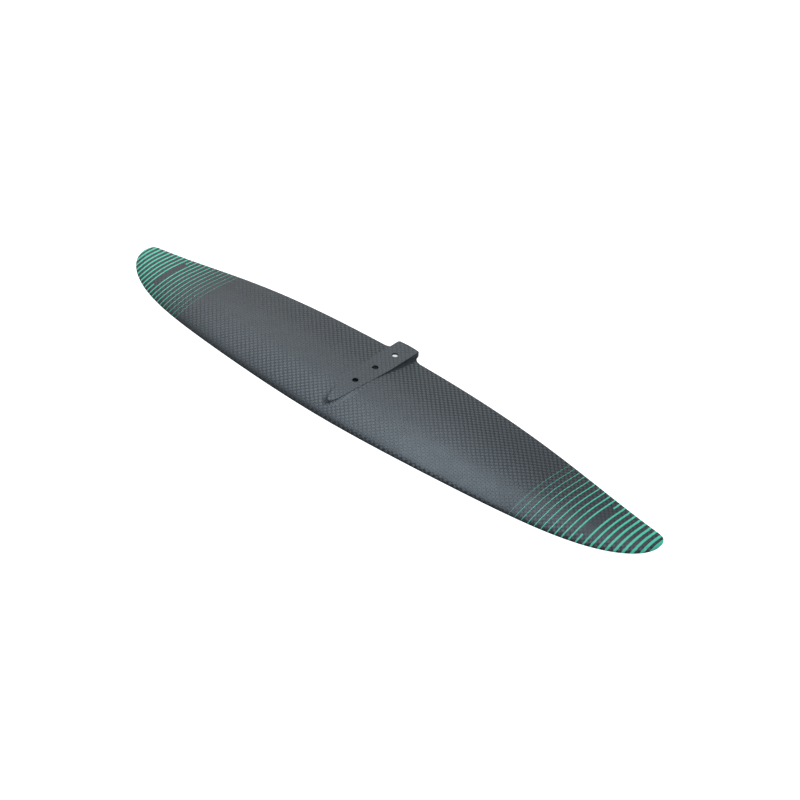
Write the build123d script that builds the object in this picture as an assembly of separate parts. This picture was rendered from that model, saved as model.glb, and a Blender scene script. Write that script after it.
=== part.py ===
from build123d import *
import math
import os

# Front wing of a hydrofoil, in millimetres.
# The origin is on the flat mounting face, on the axis of the middle screw hole.
# +Z is up, +X runs along the span to the wing's left-hand side, and the leading edge faces -Y.

# ---- planform ----
HALF_SPAN = 415.0          # centre line to wing tip
TIP_APEX_Y = 12.8          # where the tip's outline is furthest out
LE_DEPTH = 113.8           # from the tip apex forward to the leading edge at the root
LE_SPAN_POWER = 1.98       # exponents of the superellipse that the leading edge follows
LE_DEPTH_POWER = 1.87
TE_ROOT_Y = 49.0           # trailing edge on the centre line
TE_SWEEP = 21.3            # how far the trailing edge comes forward at the tip
TE_SWEEP_POWER = 1.5
TIP_CORNER = 12.0          # length of the rounded rear corner of the tip
TIP_CORNER_POWER = 2.5

# ---- how the wing sits below the mounting face ----
FACE_ABOVE_CREST = 0.58    # mounting face above the highest line of the root section
TIP_DROP = 25.5            # mid-chord of the tip below the mid-chord of the root
DROP_POWER = 1.7
ROOT_PITCH = 3.4           # degrees, nose down from the mounting face
TIP_WASHOUT = 2.2          # degrees, further nose down at the tip

# ---- foil section ----
ROOT_THICKNESS_RATIO = 0.100
TIP_THICKNESS_RATIO = 0.090
NOSE_POWER = 0.55          # bluntness of the nose
CAMBER_RATIO = 0.022
TRAILING_EDGE = 1.0        # thickness of the trailing edge

# ---- lay-up inside the wing, as shares of the local chord ----
NOSE_STRIP = 0.06          # solid leading-edge strip
SPAR_START = 0.22
SPAR_END = 0.34
TAIL_STRIP = 0.82          # solid trailing-edge strip, from here back
SKIN = 1.0                 # thickness of one skin
SPAR_CAP = 0.9             # thickness of one spar cap
BOND = 0.12                # glue line between bonded pieces
TIP_BLOCK_LENGTH = 55.0    # the skins and cores end where the solid tip begins
CENTRE_BLOCK_HALF = 42.0   # half width of the block that takes the screws

# ---- mounting pad with its tail tab ----
PAD_HALF = 16.8            # half width beside the screws and along the tab
PAD_FULL_Y = 20.0          # the pad has its full width from here back
PAD_TAPER_Y = -2.0         # ahead of this its sides draw in towards the nose
PAD_SHOULDER_Y = -59.0     # the sides bend round towards the nose here
PAD_SHOULDER_HALF = 12.8
PAD_NOSE_Y = -77.0
PAD_NOSE_HALF = 9.6        # how far the blunt nose draws the sides out
PAD_ROLL_Y = -28.0         # the flat face ends here and rolls down to the nose
PAD_ROLL_RADIUS = 195.0
PAD_EDGE_ROUND = 2.5       # along the edge of the flat face
TAB_END_Y = 62.0
TAB_CORNER = 4.0
TAB_THICKNESS = 7.2
FOOT_REACH = 8.0           # concave foot between the pad's sides and the wing

# ---- screws: three M6 countersunk screws in line ----
SCREW_COUNT = 3
SCREW_PITCH = 35.0
SCREW_HOLE = 7.0           # clearance bore
HEAD_SEAT = 12.6           # widest diameter of the 90 degree seat
HEAD_RECESS = 2.2          # straight part of the seat below the cone
SLEEVE_WALL = 1.8
SLEEVE_NECK = 1.0          # straight part of each sleeve above its cone
BELLY_RECESS = 0.2         # each sleeve's rim lies this far inside the belly

POINTS_PER_CURVE = 9
HALF_STATIONS = 7
TIP_STATIONS = 7
END_CAP = 0.25             # width of the flat left at the very end of a tip
CUT_MARGIN = 5.0           # how far each cutting shape runs past what it cuts


def span_share(x):
    return min(abs(x) / HALF_SPAN, 1.0)


def leading_edge_y(x):
    rise = 1.0 - span_share(x) ** LE_SPAN_POWER
    return TIP_APEX_Y - LE_DEPTH * max(rise, 0.0) ** (1.0 / LE_DEPTH_POWER)


def trailing_edge_y(x):
    y = TE_ROOT_Y - TE_SWEEP * span_share(x) ** TE_SWEEP_POWER
    into_corner = (abs(x) - (HALF_SPAN - TIP_CORNER)) / TIP_CORNER
    if into_corner <= 0.0:
        return y
    left = max(1.0 - into_corner ** TIP_CORNER_POWER, 0.0) ** (1.0 / TIP_CORNER_POWER)
    return TIP_APEX_Y + (y - TIP_APEX_Y) * left


def pitch(x):
    return math.radians(ROOT_PITCH + TIP_WASHOUT * span_share(x) ** 2)


def half_thickness(x, share):
    """Half the section's thickness, as a share of the chord."""
    ratio = ROOT_THICKNESS_RATIO
    ratio += (TIP_THICKNESS_RATIO - ROOT_THICKNESS_RATIO) * span_share(x)
    crest = NOSE_POWER / (1.0 + NOSE_POWER)
    body = (share / crest) ** NOSE_POWER * (1.0 - share) / (1.0 - crest)
    return 0.5 * ratio * body


def camber(share):
    return CAMBER_RATIO * (4.0 * share * (1.0 - share)) ** 2


def section_place(x, share, side, inset=0.0):
    """A point of the section at x, as y and the height over the section's middle."""
    nose_y = leading_edge_y(x)
    run = trailing_edge_y(x) - nose_y
    angle = pitch(x)
    chord = run / math.cos(angle)
    half = half_thickness(x, share) * chord + 0.5 * TRAILING_EDGE * share
    offset = camber(share) * chord + side * (half - inset)
    y = nose_y + share * run - offset * math.sin(angle)
    height = (share - 0.5) * run * math.tan(angle) + offset * math.cos(angle)
    return y, height


# the middle of the root section lies this far below the mounting face
ROOT_DEPTH = FACE_ABOVE_CREST + max(section_place(0, k / 200, 1)[1] for k in range(201))


def middle_z(x):
    drop = 0.5 * TIP_DROP * (1.0 - math.cos(math.pi * span_share(x) ** DROP_POWER))
    return -ROOT_DEPTH - drop


def section_point(x, share, side, inset=0.0):
    """A point of the section at x: side is +1 on the upper face, -1 on the lower one."""
    y, height = section_place(x, share, side, inset)
    return Vector(x, y, middle_z(x) + height)


def tip_block_start():
    return HALF_SPAN - TIP_BLOCK_LENGTH


def floor_z():
    """A level well below the root section, for shapes that are cut off by the wing."""
    return belly_z(0.5 * (leading_edge_y(0) + trailing_edge_y(0))) - CUT_MARGIN


def shares(start, end):
    """Chord shares from start to end, closer together at both ends."""
    steps = POINTS_PER_CURVE - 1
    return [
        start + (end - start) * 0.5 * (1.0 - math.cos(math.pi * k / steps))
        for k in range(steps + 1)
    ]


def face_curve(x, start, end, side, inset=0.0):
    return Spline(*[section_point(x, s, side, inset) for s in shares(start, end)])


def nose_curve(x, end):
    """The outer skin line from the upper face round the nose to the lower face."""
    upper = [section_point(x, end * (k / 6.0) ** 2, 1) for k in range(6, 0, -1)]
    lower = [section_point(x, end * (k / 6.0) ** 2, -1) for k in range(0, 7)]
    return Spline(*(upper + lower))


def closed_face(*curves):
    """A flat face bounded by curves laid end to end, with straight lines in the gaps."""
    edges = []
    for k, curve in enumerate(curves):
        following = curves[(k + 1) % len(curves)]
        edges.append(curve)
        if (curve @ 1 - following @ 0).length > 1e-6:
            edges.append(Line(curve @ 1, following @ 0))
    return Face(Wire(edges))


def band_face(x, start, end, top, bottom):
    """A chordwise band with half a glue line at each end: top and bottom are (side, inset)."""
    trim = 0.5 * BOND / (trailing_edge_y(x) - leading_edge_y(x))
    first = start + trim
    last = end - trim if end < 1.0 else end
    upper = face_curve(x, first, last, *top)
    points = [section_point(x, s, *bottom) for s in reversed(shares(first, last))]
    return closed_face(upper, Spline(*points))


def stations(start, end, count):
    """Places along the span that crowd together towards the tips."""
    first = math.asin(start / HALF_SPAN)
    last = math.asin(end / HALF_SPAN)
    return [
        HALF_SPAN * math.sin(first + (last - first) * k / (count - 1)) for k in range(count)
    ]


def along(start, end, count, make_face):
    return Solid(loft([make_face(x) for x in stations(start, end, count)]).wrapped)


def along_both_sides(reach, make_face):
    return along(-reach, reach, 2 * HALF_STATIONS - 1, make_face)


def along_one_side(start, make_face):
    return along(start, tip_block_start(), HALF_STATIONS, make_face)


def upper_skin():
    def face(x):
        return band_face(x, NOSE_STRIP, TAIL_STRIP, (1, 0.0), (1, SKIN))
    return along_both_sides(tip_block_start(), face)


def lower_skin():
    def face(x):
        return band_face(x, NOSE_STRIP, TAIL_STRIP, (-1, SKIN), (-1, 0.0))
    return along_both_sides(tip_block_start(), face)


def leading_edge():
    def face(x):
        trim = 0.5 * BOND / (trailing_edge_y(x) - leading_edge_y(x))
        return closed_face(nose_curve(x, NOSE_STRIP - trim))
    return along_one_side(0.0, face)


def trailing_edge():
    def face(x):
        return band_face(x, TAIL_STRIP, 1.0, (1, 0.0), (-1, 0.0))
    return along_one_side(CENTRE_BLOCK_HALF, face)


def tip_block():
    def face(x):
        nose = nose_curve(x, NOSE_STRIP)
        lower = face_curve(x, NOSE_STRIP, 1.0, -1)
        points = [section_point(x, s, 1) for s in reversed(shares(NOSE_STRIP, 1.0))]
        return closed_face(nose, lower, Spline(*points))
    return along(tip_block_start(), HALF_SPAN - END_CAP, TIP_STATIONS, face)


def spar_cap(side):
    outer = SKIN + BOND
    inner = outer + SPAR_CAP

    def face(x):
        return band_face(x, SPAR_START, SPAR_END, (side, outer), (side, inner))
    return along_both_sides(tip_block_start(), face)


def spar_web():
    depth = SKIN + SPAR_CAP + 2.0 * BOND

    def face(x):
        return band_face(x, SPAR_START, SPAR_END, (1, depth), (-1, depth))
    return along_one_side(0.0, face)


def core(start_x, start, end):
    depth = SKIN + BOND

    def face(x):
        return band_face(x, start, end, (1, depth), (-1, depth))
    return along_one_side(start_x, face)


def centre_block():
    """The solid block under the pad: between the skins, then full depth to the trailing edge."""
    depth = SKIN + BOND

    def face(x):
        trim = 0.5 * BOND / (trailing_edge_y(x) - leading_edge_y(x))
        start = SPAR_END + trim
        step = TAIL_STRIP + trim
        belly_tail = [section_point(x, s, -1) for s in reversed(shares(step, 1.0))]
        belly_front = [section_point(x, s, -1, depth) for s in reversed(shares(start, step))]
        return closed_face(
            face_curve(x, start, step, 1, depth),
            face_curve(x, step, 1.0, 1),
            Spline(*belly_tail),
            Spline(*belly_front),
        )
    return along(-CENTRE_BLOCK_HALF, CENTRE_BLOCK_HALF, 5, face)


def under_the_skin():
    """Everything below the wing's upper face around the pad, back to the trailing edge."""
    reach = PAD_HALF + FOOT_REACH + CUT_MARGIN

    def face(x):
        upper = face_curve(x, NOSE_STRIP, 1.0, 1, -BOND)
        front = upper @ 0
        rear = upper @ 1
        rear_y = section_point(x, 1.0, -1).Y + BOND
        rear_top = Vector(x, rear_y, rear.Z)
        rear_foot = Vector(x, rear_y, floor_z())
        front_foot = Vector(x, front.Y, floor_z())
        return Face(Wire([
            upper,
            Line(rear, rear_top),
            Line(rear_top, rear_foot),
            Line(rear_foot, front_foot),
            Line(front_foot, front),
        ]))
    return along(-reach, reach, 7, face)


def pad_outline():
    """The pad's plan: a rounded nose, gently widening sides and the tail tab."""
    nose = Vector(0, PAD_NOSE_Y)
    side = Bezier(
        nose,
        Vector(PAD_NOSE_HALF, PAD_NOSE_Y),
        Vector(PAD_SHOULDER_HALF, PAD_SHOULDER_Y),
        Vector(PAD_HALF, PAD_TAPER_Y),
        Vector(PAD_HALF, PAD_FULL_Y),
    )
    corner_centre = Vector(PAD_HALF - TAB_CORNER, TAB_END_Y - TAB_CORNER)
    corner = CenterArc(corner_centre, TAB_CORNER, 0, 90)
    run = Line(Vector(PAD_HALF, PAD_FULL_Y), corner @ 0)
    end = Line(corner @ 1, Vector(0, TAB_END_Y))
    half = make_face([side, run, corner, end, Line(Vector(0, TAB_END_Y), nose)])
    return half + mirror(half, about=Plane.YZ)


def pad_side_view():
    """The pad seen from the side: flat on top, rolling down in an arc to the nose."""
    front_y = PAD_NOSE_Y - CUT_MARGIN
    back_y = TAB_END_Y + CUT_MARGIN
    fall = PAD_ROLL_RADIUS - math.sqrt(PAD_ROLL_RADIUS ** 2 - (PAD_ROLL_Y - front_y) ** 2)
    centre = Vector(0, PAD_ROLL_Y, -PAD_ROLL_RADIUS)
    sweep = 0.5 * math.asin((PAD_ROLL_Y - front_y) / PAD_ROLL_RADIUS)
    half_way = centre + PAD_ROLL_RADIUS * Vector(0, -math.sin(sweep), math.cos(sweep))
    flat_start = Vector(0, PAD_ROLL_Y, 0)
    roll_end = Vector(0, front_y, -fall)
    back_top = Vector(0, back_y, 0)
    back_foot = Vector(0, back_y, floor_z())
    front_foot = Vector(0, front_y, floor_z())
    return Face(Wire([
        ThreePointArc(roll_end, half_way, flat_start),
        Line(flat_start, back_top),
        Line(back_top, back_foot),
        Line(back_foot, front_foot),
        Line(front_foot, roll_end),
    ]))


def tab_start_y():
    """Just ahead of the trailing edge beside the tab, so that the tab meets its whole width."""
    return trailing_edge_y(PAD_HALF + FOOT_REACH)


def foot_section():
    """The pad's foot seen from behind: from under the rounded edge out to the trailing edge."""
    crest = Vector(PAD_HALF, 0, -PAD_EDGE_ROUND)
    hollow = Vector(PAD_HALF, 0, TRAILING_EDGE - TAB_THICKNESS)
    toe = Vector(PAD_HALF + FOOT_REACH, 0, TRAILING_EDGE - TAB_THICKNESS)
    toe_base = Vector(PAD_HALF + FOOT_REACH, 0, -TAB_THICKNESS)
    base = Vector(0, 0, -TAB_THICKNESS)
    top = Vector(0, 0, -PAD_EDGE_ROUND)
    half = Face(Wire([
        Line(top, crest),
        Bezier(crest, hollow, toe),
        Line(toe, toe_base),
        Line(toe_base, base),
        Line(base, top),
    ]))
    return half + mirror(half, about=Plane.YZ)


def pad_foot():
    """The foot along both sides of the pad, with a rounded bay behind the trailing edge."""
    half = PAD_HALF + FOOT_REACH
    end = TE_ROOT_Y + FOOT_REACH
    plan = Rectangle(2 * half, end, align=(Align.CENTER, Align.MIN))
    plan -= Locations((half, end), (-half, end)) * Circle(FOOT_REACH)
    column = extrude(plan, amount=-TAB_THICKNESS)
    return column & extrude(foot_section(), amount=end, both=True)


def mounting_pad():
    reach = 2 * (PAD_HALF + FOOT_REACH)
    deep = extrude(pad_outline(), amount=floor_z())
    deep = fillet(deep.edges().group_by(Axis.Z)[-1], PAD_EDGE_ROUND)
    shaped = extrude(pad_side_view(), amount=reach, both=True) & deep
    front = Box(reach, reach * 4, reach, align=(Align.CENTER, Align.MAX, Align.MAX))
    rear = Box(reach, reach, TAB_THICKNESS, align=(Align.CENTER, Align.MIN, Align.MAX))
    over_wing = shaped & (Pos(0, tab_start_y(), 0) * front)
    tab = shaped & (Pos(0, tab_start_y(), 0) * rear)
    pad = (over_wing + tab + pad_foot()) - under_the_skin()
    for cutter in sleeve_cutters():
        pad -= cutter
    return pad


def screw_places():
    first = -0.5 * SCREW_PITCH * (SCREW_COUNT - 1)
    return [first + SCREW_PITCH * k for k in range(SCREW_COUNT)]


def belly_z(y):
    share = (y - leading_edge_y(0)) / (trailing_edge_y(0) - leading_edge_y(0))
    return section_point(0, share, -1).Z


def sleeve_profile(y, grow):
    """Outer line of a sleeve from its rim up, as (radius, z), made larger by grow."""
    rim = 0.5 * HEAD_SEAT + SLEEVE_WALL
    tube = 0.5 * SCREW_HOLE + SLEEVE_WALL
    foot = max(belly_z(y - rim), belly_z(y + rim)) + BELLY_RECESS
    cone = 0.5 * (HEAD_SEAT - SCREW_HOLE)
    return [
        (rim + grow, foot),
        (rim + grow, foot + HEAD_RECESS),
        (tube + grow, foot + HEAD_RECESS + cone),
        (tube + grow, foot + HEAD_RECESS + cone + SLEEVE_NECK + grow),
    ]


def turned(points, y):
    """A solid of revolution about the screw's axis from (radius, z) points."""
    corners = [Vector(r, 0, z) for r, z in points]
    lines = [Line(a, b) for a, b in zip(corners, corners[1:] + corners[:1])]
    return Pos(0, y, 0) * revolve(Face(Wire(lines)), axis=Axis.Z)


def sleeve(y):
    outer = sleeve_profile(y, 0.0)
    inner = [(r - SLEEVE_WALL, z) for r, z in outer]
    return turned(outer + inner[::-1], y)


def sleeve_cutter(y):
    """What makes room for a sleeve from below, and for the screw above it."""
    outer = sleeve_profile(y, 0.5 * BOND)
    below = (outer[0][0], floor_z() - CUT_MARGIN)
    bore = 0.5 * SCREW_HOLE
    above = [(bore, outer[-1][1]), (bore, CUT_MARGIN), (0, CUT_MARGIN)]
    return turned([(0, below[1]), below] + outer[1:] + above, y)


def sleeve_cutters():
    return [sleeve_cutter(y) for y in screw_places()]


def drilled(body):
    for cutter in sleeve_cutters():
        body -= cutter
    return body


def mirrored(body):
    return mirror(body, about=Plane.YZ)


def both_sides(name, body):
    """The +X side is the wing's left-hand side, seen from above with the nose ahead."""
    return {name + "_right": mirrored(body), name + "_left": body}


def build():
    parts = {}
    parts["upper_skin"] = drilled(upper_skin())
    parts["lower_skin"] = drilled(lower_skin())
    parts["mounting_pad"] = mounting_pad()
    parts["centre_block"] = drilled(centre_block())
    parts["spar_cap_upper"] = spar_cap(1)
    parts["spar_cap_lower"] = spar_cap(-1)
    parts.update(both_sides("spar_web", spar_web()))
    parts.update(both_sides("leading_edge_strip", leading_edge()))
    parts.update(both_sides("trailing_edge_strip", trailing_edge()))
    parts.update(both_sides("tip_block", tip_block()))
    parts.update(both_sides("front_core", core(0.0, NOSE_STRIP, SPAR_START)))
    parts.update(both_sides("rear_core", core(CENTRE_BLOCK_HALF, SPAR_END, TAIL_STRIP)))
    names = ["front_screw_sleeve", "middle_screw_sleeve", "rear_screw_sleeve"]
    for name, y in zip(names, screw_places()):
        parts[name] = sleeve(y)
    return parts


os.makedirs("parts", exist_ok=True)
for node, solid in build().items():
    solid.label = node
    export_step(solid, "parts/" + node + ".step")
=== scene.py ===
import bmesh
import bpy
import math
import numpy as np
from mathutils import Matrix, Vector


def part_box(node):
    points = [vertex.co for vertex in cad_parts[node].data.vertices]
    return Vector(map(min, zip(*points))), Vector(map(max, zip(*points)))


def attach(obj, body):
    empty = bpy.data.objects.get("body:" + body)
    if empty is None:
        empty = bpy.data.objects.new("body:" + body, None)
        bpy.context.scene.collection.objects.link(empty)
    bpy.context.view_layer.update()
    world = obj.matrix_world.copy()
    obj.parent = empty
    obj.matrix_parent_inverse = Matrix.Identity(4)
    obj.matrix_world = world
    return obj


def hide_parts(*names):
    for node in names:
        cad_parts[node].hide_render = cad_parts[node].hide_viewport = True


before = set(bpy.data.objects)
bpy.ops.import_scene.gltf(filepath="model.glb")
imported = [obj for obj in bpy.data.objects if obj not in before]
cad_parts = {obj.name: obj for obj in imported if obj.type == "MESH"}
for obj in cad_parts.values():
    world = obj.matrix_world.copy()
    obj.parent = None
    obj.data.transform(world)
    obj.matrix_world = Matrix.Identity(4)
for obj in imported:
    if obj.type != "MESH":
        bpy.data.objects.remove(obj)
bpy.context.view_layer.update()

MM = 0.001

# Lengths are in millimetres unless a comment says otherwise. x runs along the span, y to the
# rear and z up; z = 0 is the pad's face, and the middle screw hole is at x = y = 0.

# ---- the wing's form ----
HALF_SPAN = 415.0
TIP_APEX_Y = 12.8          # where the leading edge ends at the tip
LE_DEPTH = 113.8           # how far the leading edge swells ahead of that
LE_SPAN_POWER = 1.98
LE_DEPTH_POWER = 1.87
TE_ROOT_Y = 49.0
TE_SWEEP = 21.3            # how far the trailing edge comes forward at the tip
TE_SWEEP_POWER = 1.5
TIP_CORNER = 12.0          # length of the tip's rounded rear corner
TIP_CORNER_POWER = 2.5
FACE_ABOVE_CREST = 0.58    # the pad's face above the wing's highest line
TIP_DROP = 25.5            # how far the tips hang below the middle
DROP_POWER = 1.7
ROOT_PITCH = 3.4           # degrees
TIP_WASHOUT = 2.2          # degrees more at the tip
ROOT_THICKNESS_RATIO = 0.100
TIP_THICKNESS_RATIO = 0.090
NOSE_POWER = 0.55          # how blunt the section's nose is
CAMBER_RATIO = 0.022
TRAILING_EDGE = 1.0
SKIN = 1.0
NOSE_STRIP = 0.06          # the pieces meet at these shares of the chord
SPAR_END = 0.34
TAIL_STRIP = 0.82
TAIL_STRIP_LAP = 0.0008    # the block runs this share past the tail strip's line
CENTRE_BLOCK_HALF = 42.0   # and at these distances from the centre line
TIP_BLOCK_START = 360.0
TIP_END = 414.75

# ---- mounting pad ----
PAD_HALF = 16.8
PAD_FULL_Y = 20.0          # the sides are straight from here to the tab's end
PAD_NOSE_Y = -81.0
PAD_SIDE = (               # the curve that the side follows, as control points
    (0.0, PAD_NOSE_Y), (8.2, PAD_NOSE_Y), (11.0, -58.0), (PAD_HALF, -2.0), (PAD_HALF, PAD_FULL_Y))
PAD_ROLL_Y = -28.0         # ahead of this the top rolls down with the wing
PAD_ROLL_RADIUS = 258.0
PAD_EDGE_ROUND = 1.1
PAD_CREST = 2.4            # how far down the side the foot begins, at most
PAD_CREST_SHARE = 0.35     # and as a share of the side's height
PAD_ROUND_SHARE = 0.8      # the edge's round takes at most this share of that depth
PAD_SHARP_ANGLE = 38.0     # degrees; shading breaks at steeper edges
PAD_SINK = 0.25            # the foot's edge goes this far into the skin
PAD_LEAST_SIDE = 0.05
TINY = 0.01                # keeps a length from reaching zero
TAB_END_Y = 62.0
TAB_END_BOW = 0.8
TAB_CORNER = 3.4
TAB_THICKNESS = 7.2
UNDER_ROUND = 1.0          # round of the tab's lower edges
UNDER_START = TE_ROOT_Y - 1.5
FOOT_REACH = 11.0          # the concave foot at the side's end, at the trailing edge
FOOT_MIDDLE = 1.0          # beside the middle hole
FOOT_GAIN = 3.2            # what it gains behind the middle hole
FOOT_GAIN_START = -4.0
FOOT_GAIN_END = 26.0
FOOT_NOSE_GAIN = 6.0       # what it gains from y = 0 forward
FOOT_NOSE_END = -52.0
FOOT_HOLLOW = 2.0          # power of the foot's curve
FOOT_HOLLOW_GAIN = 1.5     # what that gains from here to the trailing edge
FOOT_HOLLOW_START = 30.0

# ---- screw holes ----
SCREW_HOLE = 7.0
HOLE_BREAK = 0.55          # broken edge at each hole's mouth
SEAT_DEPTH = 2.2           # straight part of a screw's seat
CONE_DEPTH = 2.8
SLEEVE_RIM = 8.1           # radii of the sleeve
SLEEVE_TUBE = 5.3
GLUE = 0.06                # gap round a sleeve
BOND = 0.12                # gap between a skin and what it covers
CUT_FROM = -60.0           # the cutters reach from below the wing
CUT_TO = 20.0              # to above the pad

# ---- how fine the meshes are ----
NOSE_ROWS = 25             # rows of corners round each piece's section
SKIN_ROWS = 30
TAIL_ROWS = 8
BLOCK_ROWS = 20
CENTRE_STEPS = 7           # stations along the span
HALF_STATIONS = 54
TIP_STATIONS = 30
TURN_STEPS = 48
PAD_CURVE_POINTS = 46      # points along the pad's outline
PAD_CURVE_CROWDING = 1.3   # closer together at the nose
PAD_STRAIGHT_POINTS = 34
TAB_STEPS = 8              # for a corner of the tab, and for half its end
ROUND_STEPS = 5
FOOT_STEPS = 8

# ---- paint ----
STRIPES = 19
STRIPE_FIRST = 406.1       # the outermost stripe's distance from the centre line
STRIPE_PITCH = 7.72
STRIPE_WIDE = 3.2
STRIPE_NARROW = 0.28
STRIPE_BLUR = 0.08
BROKEN_STRIPE = 8.0        # counted inwards from the outermost, which is 0
BREAK_Y = -7.5             # the middle of the break
BREAK_HALF = 27.5
BREAK_BLUR = 0.3
CAP_START = 411.2          # the paint covers everything beyond this
CAP_BLUR = 0.1

# ---- woven carbon ----
TOW_X = 3.52               # width of one chordwise tow
TOW_Y = 3.475              # width of one spanwise tow
TOW_DRIFT = 0.22           # how far the tows wander, in tow widths
TOW_DRIFT_SCALES = (26.0, 31.0)
TOW_CROWN_POWER = 4.0      # section of a tow across its width
TOW_ARCH_POWER = 3.0       # and along it, over the tow below
TOW_CROWN_SHARE = 0.55
STREAKS_ACROSS = 9.0       # fibre streaks in a tow's width
STREAKS_ALONG = 0.5
STREAKS_APART = 37.0
SEAM_FADE = (0.13, 0.52)   # heights over which the dark seam gives way to the tow
CROSSING_TONE = 0.45
STREAK_TONE = 1.1
STREAK_RELIEF = 0.25
CARBON_ROUGHNESS = 0.38
ROUGHNESS_PATCH = 0.012
SEAM_ROUGHER = 0.5
CARBON_IOR = 1.41
CARBON_TINT = (0.71, 0.87, 1.0, 1.0)
CARBON_ANISOTROPY = 0.85
CARBON_RELIEF = 0.00005    # metres
PAINT_TONES = (0.94, 1.03)
PAINT_FILLS = 0.7          # how much of the weave's relief the paint hides
PAINT_HEIGHT = 0.9

# ---- colours ----
FIBRE_LIGHT = (0.0060, 0.0085, 0.0105, 1.0)
FIBRE_DARK = (0.0020, 0.0028, 0.0035, 1.0)
RESIN_GAP = (0.0006, 0.0008, 0.0010, 1.0)
PAINT = (0.050, 0.470, 0.330)
WEB_FOAM = (0.55, 0.50, 0.38)
CORE_FOAM = (0.70, 0.66, 0.52)
LAMINATE_DARK = (0.018, 0.020, 0.022, 1.0)
LAMINATE_LIGHT = (0.070, 0.075, 0.080, 1.0)
STEEL_DARK = (0.70, 0.71, 0.72, 1.0)
STEEL_LIGHT = (0.82, 0.83, 0.84, 1.0)
WHITE = (1.0, 1.0, 1.0, 1.0)
FLOOR_COLOUR = (0.80, 0.80, 0.80, 1.0)

# ---- stage, light and camera, in metres, watts and degrees ----
FLOOR_HALF = 6.0
FLOOR_Z = -0.75
FLOOR_GLOW = 0.56
WORLD_LIGHT = 0.25
LAMPS = (
    ("lamp_overhead", (-1.03, 0.69, 3.80), 2.25, 138.5),
    ("lamp_behind", (-2.45, 1.74, 2.64), 2.54, 47.4),
)
CAMERA_LENS = 102.6        # millimetres, as the sensor's width
CAMERA_SENSOR = 36.0
CAMERA_PLACE = (1.42384, -1.64608, 1.60227)
CAMERA_TURN = (52.81, -2.39, 41.85)


# ---------------------------------------------------------------- form
def span_share(x):
    """How far out x is, from 0 at the centre line to 1 at the tip."""
    return np.minimum(np.abs(x) / HALF_SPAN, 1.0)


def leading_edge_y(x):
    rise = np.maximum(1.0 - span_share(x) ** LE_SPAN_POWER, 0.0)
    return TIP_APEX_Y - LE_DEPTH * rise ** (1.0 / LE_DEPTH_POWER)


def trailing_edge_y(x):
    y = TE_ROOT_Y - TE_SWEEP * span_share(x) ** TE_SWEEP_POWER
    w = np.clip((np.abs(x) - (HALF_SPAN - TIP_CORNER)) / TIP_CORNER, 0.0, 1.0)
    left = np.maximum(1.0 - w ** TIP_CORNER_POWER, 0.0) ** (1.0 / TIP_CORNER_POWER)
    return TIP_APEX_Y + (y - TIP_APEX_Y) * left


def surface(x, t, inset=0.0):
    """Points of the wing's outer line, or inset within it. t runs from -1, the trailing edge
    below, round the nose to +1, the trailing edge above; its square is the share of the chord."""
    x = np.asarray(x, float)
    t = np.asarray(t, float)
    share = t * t
    side = np.where(t < 0.0, -1.0, 1.0)
    nose_y = leading_edge_y(x)
    run = trailing_edge_y(x) - nose_y
    v = span_share(x)
    angle = np.radians(ROOT_PITCH + TIP_WASHOUT * v ** 2)
    chord = run / np.cos(angle)
    ratio = ROOT_THICKNESS_RATIO + (TIP_THICKNESS_RATIO - ROOT_THICKNESS_RATIO) * v
    crest = NOSE_POWER / (1.0 + NOSE_POWER)
    body = (share / crest) ** NOSE_POWER * (1.0 - share) / (1.0 - crest)
    half = 0.5 * ratio * body * chord + 0.5 * TRAILING_EDGE * share
    height = CAMBER_RATIO * (4.0 * share * (1.0 - share)) ** 2 * chord + side * (half - inset)
    drop = 0.5 * TIP_DROP * (1.0 - np.cos(np.pi * v ** DROP_POWER))
    y = nose_y + share * run - height * np.sin(angle)
    z = -ROOT_DEPTH - drop + (share - 0.5) * run * np.tan(angle) + height * np.cos(angle)
    return np.stack([x + 0.0 * y, y, z], -1)


# the depth that puts the highest point of the root section FACE_ABOVE_CREST below the pad's face
ROOT_DEPTH = 0.0
root_line = surface(np.zeros(201), np.sqrt(np.linspace(0.0, 1.0, 201)))
ROOT_DEPTH = FACE_ABOVE_CREST + float(root_line[:, 2].max())


def surface_normal(x, t):
    """Unit normals of the outer surface, which point out of the wing."""
    step_x = 0.2
    step_t = 1e-3
    outer = HALF_SPAN - step_x
    xa = np.clip(x - step_x, -outer, outer)
    xb = np.clip(x + step_x, -outer, outer)
    along_x = surface(xb, t) - surface(xa, t)
    along_t = surface(x, np.clip(t + step_t, -1.0, 1.0)) - surface(x, np.clip(t - step_t, -1.0, 1.0))
    n = np.cross(along_x, along_t)
    return n / np.maximum(np.linalg.norm(n, axis=-1, keepdims=True), 1e-12)


def chord_places(start, end, count):
    """Places t on the upper outer line, from one share of the chord to another."""
    return [float(t) for t in np.linspace(math.sqrt(start), math.sqrt(end), count)]


def find_t(x, y):
    """The place t on the upper face that lies at (x, y), found by halving."""
    low = np.full(len(x), 0.8 * math.sqrt(NOSE_STRIP))
    high = np.ones(len(x))
    for _ in range(40):
        middle = 0.5 * (low + high)
        ahead = surface(x, middle)[:, 1] < y
        low = np.where(ahead, middle, low)
        high = np.where(ahead, high, middle)
    return 0.5 * (low + high)


def upper_z(x, y):
    """Height of the wing's upper face, carried on straight behind the trailing edge."""
    x = np.atleast_1d(np.asarray(x, float))
    y = np.atleast_1d(np.asarray(y, float))
    just_ahead = 0.97
    edge = surface(x, np.ones(len(x)))
    before = surface(x, np.full(len(x), just_ahead))
    slope = (edge[:, 2] - before[:, 2]) / (edge[:, 1] - before[:, 1])
    on = surface(x, find_t(x, np.minimum(y, edge[:, 1])))[:, 2]
    return np.where(y > edge[:, 1], edge[:, 2] + slope * (y - edge[:, 1]), on)


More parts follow.
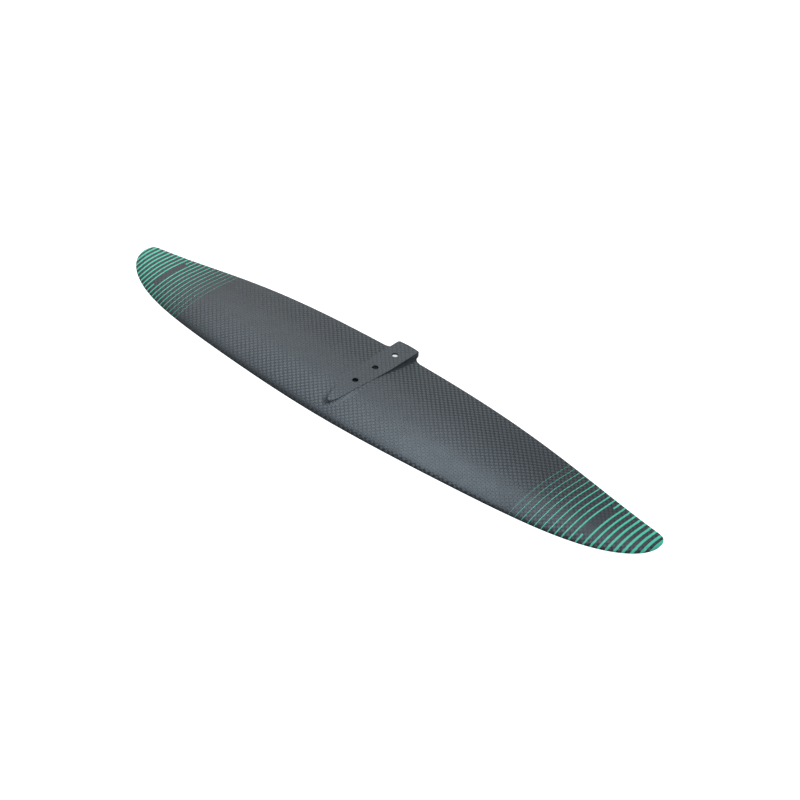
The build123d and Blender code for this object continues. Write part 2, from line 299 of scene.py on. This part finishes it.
# ---------------------------------------------------------------- mesh tools
def new_object(name, points, faces):
    """A mesh object in the scene, from points in millimetres."""
    mesh = bpy.data.meshes.new(name)
    mesh.from_pydata([tuple(p) for p in np.asarray(points) * MM], [], faces)
    mesh.validate()
    mesh.update()
    piece = bpy.data.objects.new(name, mesh)
    bpy.context.scene.collection.objects.link(piece)
    return piece


def lofted(name, xs, places):
    """A closed solid through one ring of (t, inset) places at every x in xs."""
    t = np.array([p[0] for p in places])
    inset = np.array([p[1] for p in places])
    n = len(t)
    points = np.concatenate([surface(np.full(n, x), t, inset) for x in xs])
    faces = []
    for i in range(len(xs) - 1):
        for j in range(n):
            k = (j + 1) % n
            faces.append((i * n + j, (i + 1) * n + j, (i + 1) * n + k, i * n + k))
    last = (len(xs) - 1) * n
    faces.append(tuple(range(n)))
    faces.append(tuple(last + j for j in reversed(range(n))))
    return new_object(name, points, faces)


def outward(piece):
    """Turns the faces outward."""
    work = bmesh.new()
    work.from_mesh(piece.data)
    bmesh.ops.recalc_face_normals(work, faces=work.faces)
    work.to_mesh(piece.data)
    work.free()


def nearest_place(co):
    """For each point, x and t of the nearest place on the outer surface, and its distance squared."""
    x = np.clip(co[:, 0], -TIP_END, TIP_END)
    t = np.zeros(len(co))
    best = np.full(len(co), 1e9)

    def keep_better(trial):
        p = surface(x, trial)
        d = (p[:, 1] - co[:, 1]) ** 2 + (p[:, 2] - co[:, 2]) ** 2
        better = d < best
        return np.where(better, trial, t), np.where(better, d, best)

    # first a coarse search, then steps that shrink round the best place
    coarse = np.linspace(-1.0, 1.0, 161)
    for place in coarse:
        t, best = keep_better(np.full(len(co), place))
    step = coarse[1] - coarse[0]
    for _ in range(30):
        step *= 0.62
        for trial in (t - step, t + step):
            t, best = keep_better(np.clip(trial, -1.0, 1.0))
    return x, t, best


ON_SURFACE = 0.02          # a corner nearer than this lies on the outer surface
SAME_WAY = 0.8             # cosine within which a face follows that surface


def smooth_as_surface(piece):
    """Gives the corners that lie on the wing's outer surface the true normals of that surface."""
    mesh = piece.data
    co = np.zeros(len(mesh.vertices) * 3)
    mesh.vertices.foreach_get("co", co)
    x, t, distance_squared = nearest_place(co.reshape(-1, 3) / MM)
    true = surface_normal(x, t)
    on_surface = distance_squared < ON_SURFACE ** 2
    loops = np.zeros(len(mesh.loops), int)
    mesh.loops.foreach_get("vertex_index", loops)
    result = np.zeros((len(mesh.loops), 3))
    for face in mesh.polygons:
        own = np.array(face.normal)
        for k in range(face.loop_start, face.loop_start + face.loop_total):
            v = loops[k]
            same_way = float(true[v] @ own) > SAME_WAY
            result[k] = true[v] if on_surface[v] and same_way else own
        face.use_smooth = True
    mesh.normals_split_custom_set([tuple(n) for n in result])


def apply_modifiers(piece):
    """Replaces the piece's mesh with what its modifiers make of it."""
    graph = bpy.context.evaluated_depsgraph_get()
    mesh = bpy.data.meshes.new_from_object(piece.evaluated_get(graph))
    piece.modifiers.clear()
    piece.data = mesh


def cut(piece, cutter):
    """Takes the cutter's solid out of the piece."""
    modifier = piece.modifiers.new("cut", "BOOLEAN")
    modifier.operation = "DIFFERENCE"
    modifier.solver = "EXACT"
    modifier.object = cutter
    bpy.context.view_layer.update()
    apply_modifiers(piece)


def turned(name, profile, y):
    """A solid turned about the screw's axis at y from (radius, z) corners, flat at both ends."""
    count = TURN_STEPS
    n = len(profile)
    points = []
    for k in range(count):
        a = 2.0 * math.pi * k / count
        points += [(r * math.cos(a), y + r * math.sin(a), z) for r, z in profile]
    faces = []
    for k in range(count):
        m = (k + 1) % count
        for j in range(n - 1):
            faces.append((k * n + j, m * n + j, m * n + j + 1, k * n + j + 1))
    faces.append(tuple(k * n for k in reversed(range(count))))
    faces.append(tuple(k * n + n - 1 for k in range(count)))
    return new_object(name, points, faces)


# ---------------------------------------------------------------- wing pieces
def mirrored(xs):
    """Places along the whole span from those of the left half, which begin at the centre line."""
    return [-x for x in reversed(xs[1:])] + xs


nose_t = math.sqrt(NOSE_STRIP)
nose_places = [float(t) for t in np.linspace(nose_t, -nose_t, NOSE_ROWS)]
skin_places = chord_places(NOSE_STRIP, TAIL_STRIP, SKIN_ROWS)
tail_places = chord_places(TAIL_STRIP, 1.0, TAIL_ROWS)
block_places = chord_places(SPAR_END, TAIL_STRIP + TAIL_STRIP_LAP, BLOCK_ROWS)
upper_places = skin_places + tail_places[1:]

inner_xs = [CENTRE_BLOCK_HALF * k / CENTRE_STEPS for k in range(CENTRE_STEPS)]
outer_xs = list(np.linspace(CENTRE_BLOCK_HALF, TIP_BLOCK_START, HALF_STATIONS))
half_xs = inner_xs + outer_xs
tip_first = math.asin(TIP_BLOCK_START / HALF_SPAN)
tip_last = math.asin(TIP_END / HALF_SPAN)
tip_xs = [HALF_SPAN * math.sin(a) for a in np.linspace(tip_first, tip_last, TIP_STATIONS)]

# the pieces' sections, as rings of (t, inset) places
upper_ring = [(t, 0.0) for t in skin_places] + [(t, SKIN) for t in reversed(skin_places)]
lower_ring = [(-t, inset) for t, inset in upper_ring]
nose_ring = [(t, 0.0) for t in nose_places]
tail_ring = [(t, 0.0) for t in tail_places] + [(-t, 0.0) for t in reversed(tail_places)]
block_ring = (
    [(t, SKIN + BOND) for t in block_places]
    + tail_ring
    + [(-t, SKIN + BOND) for t in reversed(block_places)]
)
tip_places = upper_places[::-1] + nose_places[1:] + [-t for t in upper_places[1:]]
tip_ring = [(t, 0.0) for t in tip_places]


def pad_top_z(y):
    """Height of the pad's top: flat at z = 0, and rolled down ahead of PAD_ROLL_Y."""
    fall = np.maximum(PAD_ROLL_Y - y, 0.0)
    return np.sqrt(PAD_ROLL_RADIUS ** 2 - fall ** 2) - PAD_ROLL_RADIUS


def hole_cutter(place):
    """A solid that cuts one screw's hole, its broken edge and the room for its sleeve."""
    low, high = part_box(place + "_screw_sleeve")
    seat = low[2] / MM + SEAT_DEPTH
    neck = high[2] / MM + GLUE
    y = 0.5 * (low[1] + high[1]) / MM
    mouth = float(pad_top_z(y))
    bore = 0.5 * SCREW_HOLE
    profile = [
        (SLEEVE_RIM + GLUE, CUT_FROM),
        (SLEEVE_RIM + GLUE, seat),
        (SLEEVE_TUBE + GLUE, seat + CONE_DEPTH),
        (SLEEVE_TUBE + GLUE, neck),
        (bore, neck),
        (bore, mouth - HOLE_BREAK),
        (bore + HOLE_BREAK, mouth),
        (bore + HOLE_BREAK, CUT_TO),
    ]
    cutter = turned("room_" + place, profile, y)
    outward(cutter)
    return cutter


cutters = [hole_cutter(place) for place in ("front", "middle", "rear")]
pieces = {}


def wing_piece(name, node, xs, places, holes=()):
    """Makes one piece of the wing, declares that it rides on the root body, and hides the CAD node
    that it replaces.
    """
    piece = lofted(name, xs, places)
    outward(piece)
    for cutter in holes:
        cut(piece, cutter)
    smooth_as_surface(piece)
    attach(piece, "root")
    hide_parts(node)
    pieces[name] = piece


wing_piece("skin_upper", "upper_skin", mirrored(half_xs), upper_ring, cutters)
wing_piece("skin_lower", "lower_skin", mirrored(half_xs), lower_ring, cutters)
for side, word in ((1.0, "left"), (-1.0, "right")):
    wing_piece(
        "nose_" + word, "leading_edge_strip_" + word,
        [side * x for x in half_xs], nose_ring)
    wing_piece(
        "tail_" + word, "trailing_edge_strip_" + word,
        [side * x for x in outer_xs], tail_ring)
    wing_piece(
        "tip_" + word, "tip_block_" + word,
        [side * x for x in tip_xs], tip_ring)
wing_piece(
    "block_centre", "centre_block",
    mirrored(inner_xs + [CENTRE_BLOCK_HALF]), block_ring, cutters)


# ---------------------------------------------------------------- mounting pad
ROUND_ANGLES = [0.5 * math.pi * k / ROUND_STEPS for k in range(ROUND_STEPS + 1)]
FOOT_SHARES = [k / FOOT_STEPS for k in range(1, FOOT_STEPS + 1)]


def pad_outline():
    """Half of the pad's plan, from the nose to the middle of the tab's end."""
    line = []
    order = len(PAD_SIDE) - 1
    for t in np.linspace(0.0, 1.0, PAD_CURVE_POINTS) ** PAD_CURVE_CROWDING:
        weights = [math.comb(order, k) * t ** k * (1.0 - t) ** (order - k) for k in range(order + 1)]
        line.append(tuple(sum(w * p[axis] for w, p in zip(weights, PAD_SIDE)) for axis in (0, 1)))
    corner_y = TAB_END_Y - TAB_END_BOW - TAB_CORNER
    for y in np.linspace(PAD_FULL_Y, corner_y, PAD_STRAIGHT_POINTS)[1:]:
        line.append((PAD_HALF, float(y)))
    straight = PAD_HALF - TAB_CORNER
    for k in range(1, TAB_STEPS + 1):
        a = 0.5 * math.pi * k / TAB_STEPS
        line.append((straight + TAB_CORNER * math.cos(a), corner_y + TAB_CORNER * math.sin(a)))
    for k in range(1, TAB_STEPS + 1):
        share = 1.0 - k / TAB_STEPS
        line.append((straight * share, TAB_END_Y - TAB_END_BOW * share ** 2))
    return np.array(line)


def away_from(line):
    """Level unit vectors that point out of the pad, square to its outline."""
    tangent = np.gradient(line, axis=0)
    tangent[0] = (1.0, 0.0)
    tangent[-1] = (-1.0, 0.0)
    tangent /= np.linalg.norm(tangent, axis=1, keepdims=True)
    return np.stack([tangent[:, 1], -tangent[:, 0]], -1)


def smooth_step(value, low, high):
    """From 0 at low to 1 at high, level at both."""
    share = min(max((value - low) / (high - low), 0.0), 1.0)
    return share * share * (3.0 - 2.0 * share)


def edge_beside(x):
    """Where the trailing edge is, at x."""
    return float(trailing_edge_y(np.array(x)))


def foot_reach(y):
    """How far the concave foot of the pad's side spreads from its edge."""
    rear = edge_beside(PAD_HALF + FOOT_REACH)
    if y >= rear + FOOT_REACH:
        return 0.0
    if y >= rear:
        down = rear + FOOT_REACH - y
        return FOOT_REACH - math.sqrt(max(FOOT_REACH ** 2 - down ** 2, 0.0))
    beside = FOOT_MIDDLE + FOOT_GAIN * smooth_step(y, FOOT_GAIN_START, FOOT_GAIN_END)
    tail = (FOOT_REACH - FOOT_MIDDLE - FOOT_GAIN) * smooth_step(y, FOOT_GAIN_END, rear) ** 3
    nose = FOOT_NOSE_GAIN * smooth_step(-y, 0.0, -FOOT_NOSE_END)
    return beside + tail + nose


def pad_ring(px, py, nx, ny):
    """The pad's section at one point of its outline: top edge, side, foot and lower edge."""
    top = float(pad_top_z(py))
    reach = foot_reach(py)
    free = reach <= 0.0    # the tab's side, behind the foot
    over_wing = not free or py < edge_beside(px) - TINY
    ground = float(upper_z(px, py)[0]) if over_wing else -TAB_THICKNESS
    tall = max(top - ground, PAD_LEAST_SIDE)
    crest = min(PAD_CREST, PAD_CREST_SHARE * tall)
    shoulder = top - crest
    round_off = min(PAD_EDGE_ROUND, PAD_ROUND_SHARE * crest)
    ring = []
    for a in ROUND_ANGLES:
        d = -round_off * (1.0 - math.sin(a))
        ring.append((px + nx * d, py + ny * d, top - round_off * (1.0 - math.cos(a))))
    ring.append((px, py, shoulder))

    behind = py >= edge_beside(PAD_HALF + FOOT_REACH)
    spread = FOOT_REACH if behind else max(reach, TINY)
    rise = min(spread, tall - crest)
    hollow = FOOT_HOLLOW + FOOT_HOLLOW_GAIN * smooth_step(py, FOOT_HOLLOW_START, TE_ROOT_Y)
    for share in FOOT_SHARES:
        d = reach * share
        qx, qy = px + nx * d, py + ny * d
        if free:
            height = shoulder + (UNDER_ROUND - TAB_THICKNESS - shoulder) * share
        else:
            height = float(upper_z(qx, qy)[0]) + rise * (1.0 - d / spread) ** hollow
        ring.append((qx, qy, height))

    qx, qy, edge = ring[-1]
    under = min(UNDER_ROUND, max(edge + TAB_THICKNESS, 0.0))
    for a in ROUND_ANGLES[1:]:
        if py > UNDER_START:
            back = under * (1.0 - math.cos(a))
            height = -TAB_THICKNESS + under * (1.0 - math.sin(a))
            ring.append((qx - nx * back, qy - ny * back, height))
        else:
            ring.append((qx, qy, edge - PAD_SINK * a / ROUND_ANGLES[-1]))
    return ring


def pad_shell(rings):
    """Points and faces from the left half's rings: both sides, and the faces above and below."""
    count = len(rings[0])
    half = len(rings)
    points = [point for ring in rings for point in ring]
    points += [(-x, y, z) for ring in rings[1:-1] for x, y, z in ring]

    def at(k, j, side):
        """Index of corner j of ring k; the first and the last ring lie on the centre line."""
        if side > 0 or k in (0, half - 1):
            return k * count + j
        return (half + k - 1) * count + j

    faces = []
    for side in (1, -1):
        for k in range(half - 1):
            for j in range(count - 1):
                quad = (at(k, j, side), at(k + 1, j, side), at(k + 1, j + 1, side), at(k, j + 1, side))
                faces.append(quad if side > 0 else quad[::-1])
    for j in (0, count - 1):
        for k in range(half - 1):
            quad = [at(k, j, 1), at(k, j, -1), at(k + 1, j, -1), at(k + 1, j, 1)]
            quad = [v for i, v in enumerate(quad) if v not in quad[:i]]
            faces.append(tuple(quad if j == 0 else quad[::-1]))
    return points, faces


def pad_piece():
    """Makes the mounting pad, declares that it rides on the root body, and hides the CAD node that it
    replaces.
    """
    line = pad_outline()
    rings = [pad_ring(px, py, nx, ny) for (px, py), (nx, ny) in zip(line, away_from(line))]
    piece = new_object("pad_mounting", *pad_shell(rings))
    outward(piece)
    for cutter in cutters:
        cut(piece, cutter)
    for face in piece.data.polygons:
        face.use_smooth = True
    piece.data.set_sharp_from_angle(angle=math.radians(PAD_SHARP_ANGLE))
    weigh = piece.modifiers.new("weigh", "WEIGHTED_NORMAL")
    weigh.keep_sharp = True
    weigh.weight = 100
    apply_modifiers(piece)
    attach(piece, "root")
    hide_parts("mounting_pad")
    pieces["pad_mounting"] = piece


pad_piece()
for cutter in cutters:
    bpy.data.objects.remove(cutter)


# ---------------------------------------------------------------- materials
class Graph:
    """One material, and short calls that add and wire its nodes. Vectors are in metres."""

    def __init__(self, name):
        self.material = bpy.data.materials.new(name)
        self.material.use_nodes = True
        self.tree = self.material.node_tree
        self.tree.nodes.clear()
        self.shader = self.tree.nodes.new("ShaderNodeBsdfPrincipled")
        output = self.tree.nodes.new("ShaderNodeOutputMaterial")
        self.tree.links.new(self.shader.outputs["BSDF"], output.inputs["Surface"])

    def put(self, socket, value):
        """Links a socket to another node's output, or sets it to a constant."""
        if isinstance(value, bpy.types.NodeSocket):
            self.tree.links.new(value, socket)
        else:
            socket.default_value = value

    def shade(self, **values):
        """Puts values on the shader's own sockets, such as Base_Color."""
        for name, value in values.items():
            self.put(self.shader.inputs[name.replace("_", " ")], value)
        return self.material

    def maths(self, operation, a, b=0.0, c=0.0):
        node = self.tree.nodes.new("ShaderNodeMath")
        node.operation = operation
        for socket, value in zip(node.inputs, (a, b, c)):
            self.put(socket, value)
        return node.outputs[0]

    def add(self, a, b):
        return self.maths("ADD", a, b)

    def less(self, a, b):
        return self.maths("SUBTRACT", a, b)

    def times(self, a, b):
        return self.maths("MULTIPLY", a, b)

    def size(self, a):
        return self.maths("ABSOLUTE", a)

    def span(self, value, low, high, to_low=0.0, to_high=1.0):
        """A smooth step from to_low to to_high as value goes from low to high."""
        node = self.tree.nodes.new("ShaderNodeMapRange")
        node.interpolation_type = "SMOOTHSTEP"
        for socket, v in zip(node.inputs, (value, low, high, to_low, to_high)):
            self.put(socket, v)
        return node.outputs[0]

    def patchy(self, noise, to_low, to_high):
        """Soft patches between two values, from a noise."""
        return self.span(noise, 0.3, 0.7, to_low, to_high)

    def blend(self, share, a, b):
        """Colour a at share 0 and colour b at share 1."""
        node = self.tree.nodes.new("ShaderNodeMix")
        node.data_type = "RGBA"
        self.put(node.inputs[0], share)
        self.put(node.inputs[6], a)
        self.put(node.inputs[7], b)
        return node.outputs[2]

    def place(self):
        """The point on the object, which is the point in the part's frame."""
        return self.tree.nodes.new("ShaderNodeTexCoord").outputs["Object"]

    def parts(self, vector):
        node = self.tree.nodes.new("ShaderNodeSeparateXYZ")
        self.tree.links.new(vector, node.inputs[0])
        return node.outputs[0], node.outputs[1], node.outputs[2]

    def vector(self, x, y, z):
        node = self.tree.nodes.new("ShaderNodeCombineXYZ")
        for socket, v in zip(node.inputs, (x, y, z)):
            self.put(socket, v)
        return node.outputs[0]

    def noise(self, vector, scale, detail):
        """Soft noise round 0.5; scale is its lumps per unit of the vector."""
        node = self.tree.nodes.new("ShaderNodeTexNoise")
        self.put(node.inputs["Vector"], vector)
        node.inputs["Scale"].default_value = scale
        node.inputs["Detail"].default_value = detail
        return node.outputs["Fac"]

    def random(self, vector):
        """A value from 0 to 1 of its own for each vector."""
        node = self.tree.nodes.new("ShaderNodeTexWhiteNoise")
        node.noise_dimensions = "3D"
        self.put(node.inputs["Vector"], vector)
        return node.outputs["Value"]

    def cells(self, vector, scale):
        """Distance from the middle of the nearest cell."""
        node = self.tree.nodes.new("ShaderNodeTexVoronoi")
        self.put(node.inputs["Vector"], vector)
        node.inputs["Scale"].default_value = scale
        return node.outputs["Distance"]

    def bump(self, height, distance):
        """Relief of the given height in metres."""
        node = self.tree.nodes.new("ShaderNodeBump")
        node.inputs["Distance"].default_value = distance
        self.put(node.inputs["Height"], height)
        return node.outputs[0]


def weave(g, where):
    """Plain weave. Returns which tow is on top (0 chordwise, 1 spanwise), the height of its
    surface, a value of its own for each crossing, and a fine streak along the fibres."""
    x, y, _ = g.parts(where)
    drift_x = g.times(g.less(g.noise(where, TOW_DRIFT_SCALES[0], detail=1.0), 0.5), TOW_DRIFT)
    drift_y = g.times(g.less(g.noise(where, TOW_DRIFT_SCALES[1], detail=1.0), 0.5), TOW_DRIFT)
    u = g.add(g.times(x, 1.0 / (TOW_X * MM)), drift_x)
    w = g.add(g.times(y, 1.0 / (TOW_Y * MM)), drift_y)
    column = g.maths("FLOOR", u)
    row = g.maths("FLOOR", w)
    parity = g.maths("FLOORED_MODULO", g.add(column, row), 2.0)
    flip = g.less(1.0, parity)
    from_u = g.less(g.maths("FRACT", u), 0.5)
    from_w = g.less(g.maths("FRACT", w), 0.5)
    across = g.add(g.times(from_u, flip), g.times(from_w, parity))
    along = g.add(g.times(from_w, flip), g.times(from_u, parity))
    crown = g.less(1.0, g.maths("POWER", g.size(g.times(across, 2.0)), TOW_CROWN_POWER))
    arch = g.less(1.0, g.maths("POWER", g.size(g.times(along, 2.0)), TOW_ARCH_POWER))
    height = g.add(g.times(crown, TOW_CROWN_SHARE), g.times(arch, 1.0 - TOW_CROWN_SHARE))
    crossing = g.random(g.vector(column, row, parity))
    # each crossing reads its streaks from another part of the noise
    streak_place = g.vector(
        g.add(g.times(across, STREAKS_ACROSS), g.times(crossing, STREAKS_APART)),
        g.times(along, STREAKS_ALONG),
        g.times(column, 0.01 * STREAKS_APART))
    return parity, height, crossing, g.noise(streak_place, scale=1.0, detail=2.0)


def painted(g, where):
    """Share of paint: stripes across the chord, wider towards the tip, and the painted tip."""
    x, y, _ = g.parts(where)
    out = g.times(g.size(x), 1.0 / MM)
    steps = g.maths("DIVIDE", g.less(STRIPE_FIRST, out), STRIPE_PITCH)
    nearest = g.maths("FLOOR", g.add(steps, 0.5))
    index = g.maths("MINIMUM", g.maths("MAXIMUM", nearest, 0.0), STRIPES - 1.0)
    offset = g.times(g.size(g.less(steps, index)), STRIPE_PITCH)
    inward = g.maths("DIVIDE", index, STRIPES - 1.0)
    half = g.add(0.5 * STRIPE_WIDE, g.times(inward, 0.5 * (STRIPE_NARROW - STRIPE_WIDE)))
    band = g.span(g.less(half, offset), -STRIPE_BLUR, STRIPE_BLUR)
    # one stripe is broken in its middle
    is_broken = g.maths("COMPARE", index, BROKEN_STRIPE, 0.5)
    from_middle = g.size(g.less(g.times(y, 1.0 / MM), BREAK_Y))
    inside = g.span(g.less(BREAK_HALF, from_middle), -BREAK_BLUR, BREAK_BLUR)
    band = g.times(band, g.less(1.0, g.times(is_broken, inside)))
    cap = g.span(out, CAP_START - CAP_BLUR, CAP_START + CAP_BLUR)
    return g.maths("MAXIMUM", band, cap)


def carbon(name, stripes=False):
    """Plain woven carbon under matt resin: each tow shines across its own fibres."""
    g = Graph(name)
    where = g.place()
    parity, height, crossing, streaks = weave(g, where)
    tone = g.times(g.less(crossing, 0.5), CROSSING_TONE)
    tone = g.add(tone, g.times(g.less(streaks, 0.5), STREAK_TONE))
    tow = g.span(height, *SEAM_FADE)
    colour = g.blend(tow, RESIN_GAP, g.blend(g.add(tone, 0.5), FIBRE_DARK, FIBRE_LIGHT))
    patch = g.patchy(
        g.noise(where, scale=55.0, detail=3.0),
        CARBON_ROUGHNESS - ROUGHNESS_PATCH, CARBON_ROUGHNESS + ROUGHNESS_PATCH)
    rough = g.add(patch, g.times(g.less(1.0, tow), SEAM_ROUGHER))
    relief = g.add(height, g.times(streaks, STREAK_RELIEF))
    if stripes:
        paint = painted(g, where)
        dusty = g.patchy(g.noise(where, scale=300.0, detail=2.0), *PAINT_TONES)
        green = g.tree.nodes.new("ShaderNodeVectorMath")
        green.operation = "SCALE"
        green.inputs[0].default_value = PAINT
        g.put(green.inputs["Scale"], dusty)
        colour = g.blend(paint, colour, green.outputs[0])
        filled = g.times(relief, g.less(1.0, g.times(paint, PAINT_FILLS)))
        relief = g.add(filled, g.times(paint, PAINT_HEIGHT))
    return g.shade(
        Base_Color=colour,
        Roughness=rough,
        IOR=CARBON_IOR,
        Specular_Tint=CARBON_TINT,
        Anisotropic=CARBON_ANISOTROPY,
        Tangent=g.vector(g.less(1.0, parity), parity, 0.0),
        Normal=g.bump(relief, CARBON_RELIEF))


def foam(name, colour, scale):
    """Closed-cell foam, with painted shade in each cell's hollow; scale is cells per metre."""
    g = Graph(name)
    where = g.place()
    depth = g.cells(where, scale)
    patches = g.noise(where, scale=30.0, detail=3.0)
    # painted shade: the colour darkens towards each cell's middle, where the relief is lowest, and
    # also in random patches
    tone = g.add(g.times(depth, 0.6), g.times(patches, 0.5))
    shade_and_patch_colour = tuple(0.7 * c for c in colour)
    return g.shade(
        Base_Color=g.blend(tone, shade_and_patch_colour + (1.0,), colour + (1.0,)),
        Roughness=0.85,
        Normal=g.bump(depth, distance=0.00012))


def unidirectional(name):
    """Carbon laminate whose fibres all run along the span."""
    g = Graph(name)
    x, y, z = g.parts(g.place())
    stretched = g.vector(g.times(x, 0.02), y, z)
    lines = g.noise(stretched, scale=2600.0, detail=2.0)
    return g.shade(
        Base_Color=g.blend(lines, LAMINATE_DARK, LAMINATE_LIGHT),
        Roughness=g.patchy(lines, 0.34, 0.5),
        Normal=g.bump(lines, distance=0.00006))


def steel(name):
    """Turned stainless steel with fine rings round the screw's axis."""
    g = Graph(name)
    where = g.place()
    x, y, z = g.parts(where)
    stretched = g.vector(g.times(x, 0.1), g.times(y, 0.1), z)
    rings = g.noise(stretched, scale=3000.0, detail=3.0)
    spots = g.noise(where, scale=220.0, detail=3.0)
    return g.shade(
        Base_Color=g.blend(rings, STEEL_DARK, STEEL_LIGHT),
        Roughness=g.patchy(spots, 0.24, 0.4),
        Metallic=1.0,
        Normal=g.bump(rings, distance=0.00002))


dress = (
    (carbon("carbon_weave", stripes=True), ("skin_upper", "skin_lower")),
    (carbon("carbon_weave_edges", stripes=True), (
        "nose_left", "nose_right", "tail_left", "tail_right")),
    (carbon("carbon_weave_tips", stripes=True), ("tip_left", "tip_right")),
    (carbon("carbon_weave_pad"), ("pad_mounting",)),
    (carbon("carbon_weave_block"), ("block_centre",)),
)
for material, names in dress:
    for name in names:
        pieces[name].data.materials.clear()
        pieces[name].data.materials.append(material)

# CAD nodes that keep their shape
inside = (
    (unidirectional("spar_laminate"), ("spar_cap_upper", "spar_cap_lower")),
    (foam("web_foam_cells", WEB_FOAM, scale=900.0), ("spar_web_left", "spar_web_right")),
    (foam("core_foam_cells", CORE_FOAM, scale=600.0), (
        "front_core_left", "front_core_right", "rear_core_left", "rear_core_right")),
    (steel("turned_steel"), ("front_screw_sleeve", "middle_screw_sleeve", "rear_screw_sleeve")),
)
for material, names in inside:
    for name in names:
        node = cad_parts[name]
        if not node.material_slots:
            node.data.materials.append(material)
        for slot in node.material_slots:
            slot.material = material


# ---------------------------------------------------------------- stage, light, camera
def seen_white(tree):
    """1 for the rays that show the background: camera, glossy and transmission rays."""
    rays = tree.nodes.new("ShaderNodeLightPath")
    share = rays.outputs["Is Camera Ray"]
    for other in ("Is Glossy Ray", "Is Transmission Ray"):
        add = tree.nodes.new("ShaderNodeMath")
        add.operation = "MAXIMUM"
        tree.links.new(share, add.inputs[0])
        tree.links.new(rays.outputs[other], add.inputs[1])
        share = add.outputs[0]
    return share


def floor_material():
    """Pale and matt, with a slight glow that keeps it white round the shadow; clear from below."""
    material = bpy.data.materials.new("pale_floor")
    material.use_nodes = True
    tree = material.node_tree
    tree.nodes.clear()
    level = tree.nodes.new("ShaderNodeMath")
    level.operation = "MULTIPLY"
    level.inputs[1].default_value = FLOOR_GLOW
    tree.links.new(seen_white(tree), level.inputs[0])
    glow = tree.nodes.new("ShaderNodeEmission")
    glow.inputs["Color"].default_value = WHITE
    tree.links.new(level.outputs[0], glow.inputs["Strength"])
    matt = tree.nodes.new("ShaderNodeBsdfDiffuse")
    matt.inputs["Color"].default_value = FLOOR_COLOUR
    both = tree.nodes.new("ShaderNodeAddShader")
    tree.links.new(matt.outputs[0], both.inputs[0])
    tree.links.new(glow.outputs[0], both.inputs[1])
    side = tree.nodes.new("ShaderNodeNewGeometry")
    clear = tree.nodes.new("ShaderNodeBsdfTransparent")
    facing = tree.nodes.new("ShaderNodeMixShader")
    tree.links.new(side.outputs["Backfacing"], facing.inputs[0])
    tree.links.new(both.outputs[0], facing.inputs[1])
    tree.links.new(clear.outputs[0], facing.inputs[2])
    out = tree.nodes.new("ShaderNodeOutputMaterial")
    tree.links.new(facing.outputs[0], out.inputs["Surface"])
    return material


def stage_floor():
    """A plain square floor below the wing."""
    far = FLOOR_HALF
    corners = [(x, y, FLOOR_Z) for x, y in ((-far, -far), (far, -far), (far, far), (-far, far))]
    mesh = bpy.data.meshes.new("floor")
    mesh.from_pydata(corners, [], [(0, 1, 2, 3)])
    floor = bpy.data.objects.new("floor", mesh)
    bpy.context.scene.collection.objects.link(floor)
    mesh.materials.append(floor_material())


def soft_lamp(name, place, width, watts):
    """A round soft light that faces the origin."""
    light = bpy.data.lights.new(name, "AREA")
    light.shape = "DISK"
    light.size = width
    light.energy = watts
    lamp = bpy.data.objects.new(name, light)
    lamp.location = place
    lamp.rotation_euler = (-Vector(place)).to_track_quat("-Z", "Y").to_euler()
    bpy.context.scene.collection.objects.link(lamp)


def studio_world():
    """Soft light from all round, and white for the rays that show the background."""
    world = bpy.data.worlds.new("studio")
    bpy.context.scene.world = world
    world.use_nodes = True
    tree = world.node_tree
    tree.nodes.clear()
    mix = tree.nodes.new("ShaderNodeMixShader")
    tree.links.new(seen_white(tree), mix.inputs[0])
    for socket, strength in ((mix.inputs[1], WORLD_LIGHT), (mix.inputs[2], 1.0)):
        background = tree.nodes.new("ShaderNodeBackground")
        background.inputs["Color"].default_value = WHITE
        background.inputs["Strength"].default_value = strength
        tree.links.new(background.outputs[0], socket)
    out = tree.nodes.new("ShaderNodeOutputWorld")
    tree.links.new(mix.outputs[0], out.inputs["Surface"])


def photo_camera():
    """The camera at the photograph's viewing angle."""
    data = bpy.data.cameras.new("camera")
    data.lens = CAMERA_LENS
    data.sensor_width = CAMERA_SENSOR
    camera = bpy.data.objects.new("camera", data)
    camera.location = CAMERA_PLACE
    camera.rotation_euler = [math.radians(a) for a in CAMERA_TURN]
    bpy.context.scene.collection.objects.link(camera)
    bpy.context.scene.camera = camera


stage_floor()
for name, place, width, watts in LAMPS:
    soft_lamp(name, place, width, watts)
studio_world()
photo_camera()
bpy.context.scene.view_settings.view_transform = "Standard"
